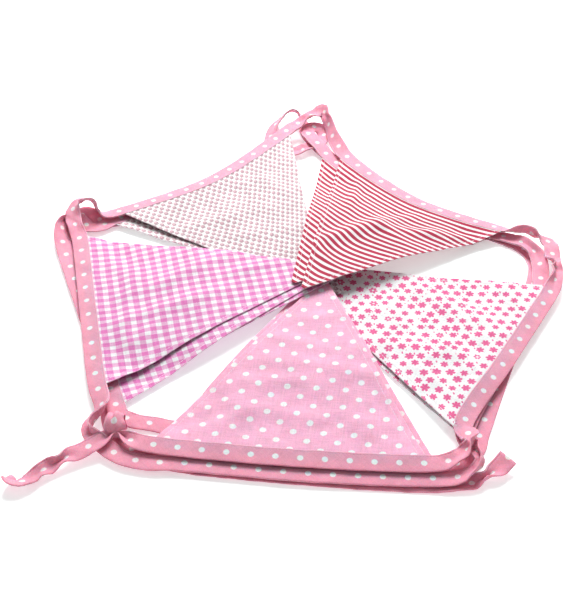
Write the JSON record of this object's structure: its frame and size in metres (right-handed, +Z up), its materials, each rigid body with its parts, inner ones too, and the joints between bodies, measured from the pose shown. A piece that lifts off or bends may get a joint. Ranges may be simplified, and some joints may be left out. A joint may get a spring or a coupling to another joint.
{
  "type": "flag bunting",
  "caption": "Fabric bunting laid in a five-sided ring: triangular printed cotton flags on a dotted binding tape with two tie ends.",
  "frame": {"origin": "bottom centre of the bounding box, on the surface that the bunting lies on", "axes": "+Z up from the surface, -Y towards the side with the two tie ends, +X to the right as seen from there"},
  "size_m": [0.4702, 0.5254, 0.0298],
  "materials": {
    "tape_cotton": "matt pink cotton binding with white dots",
    "dots_cotton": "matt pink cotton with white polka dots",
    "gingham_cotton": "matt pink and white gingham cotton",
    "rosebud_cotton": "matt white cotton with small printed rosebuds",
    "stripe_cotton": "matt red and white striped cotton",
    "flower_cotton": "matt white cotton with printed pink flowers"
  },
  "bodies": {
    "root": {"tape": "tape_cotton", "flag_dots_1": "dots_cotton", "flag_dots_2": "dots_cotton", "flag_dots_3": "dots_cotton", "flag_gingham_1": "gingham_cotton", "flag_gingham_2": "gingham_cotton", "flag_gingham_3": "gingham_cotton", "flag_rosebud_1": "rosebud_cotton", "flag_rosebud_2": "rosebud_cotton", "flag_rosebud_3": "rosebud_cotton", "flag_stripe_1": "stripe_cotton", "flag_stripe_2": "stripe_cotton", "flag_stripe_3": "stripe_cotton", "flag_flower_1": "flower_cotton", "flag_flower_2": "flower_cotton", "flag_flower_3": "flower_cotton"}
  },
  "joints": []
}
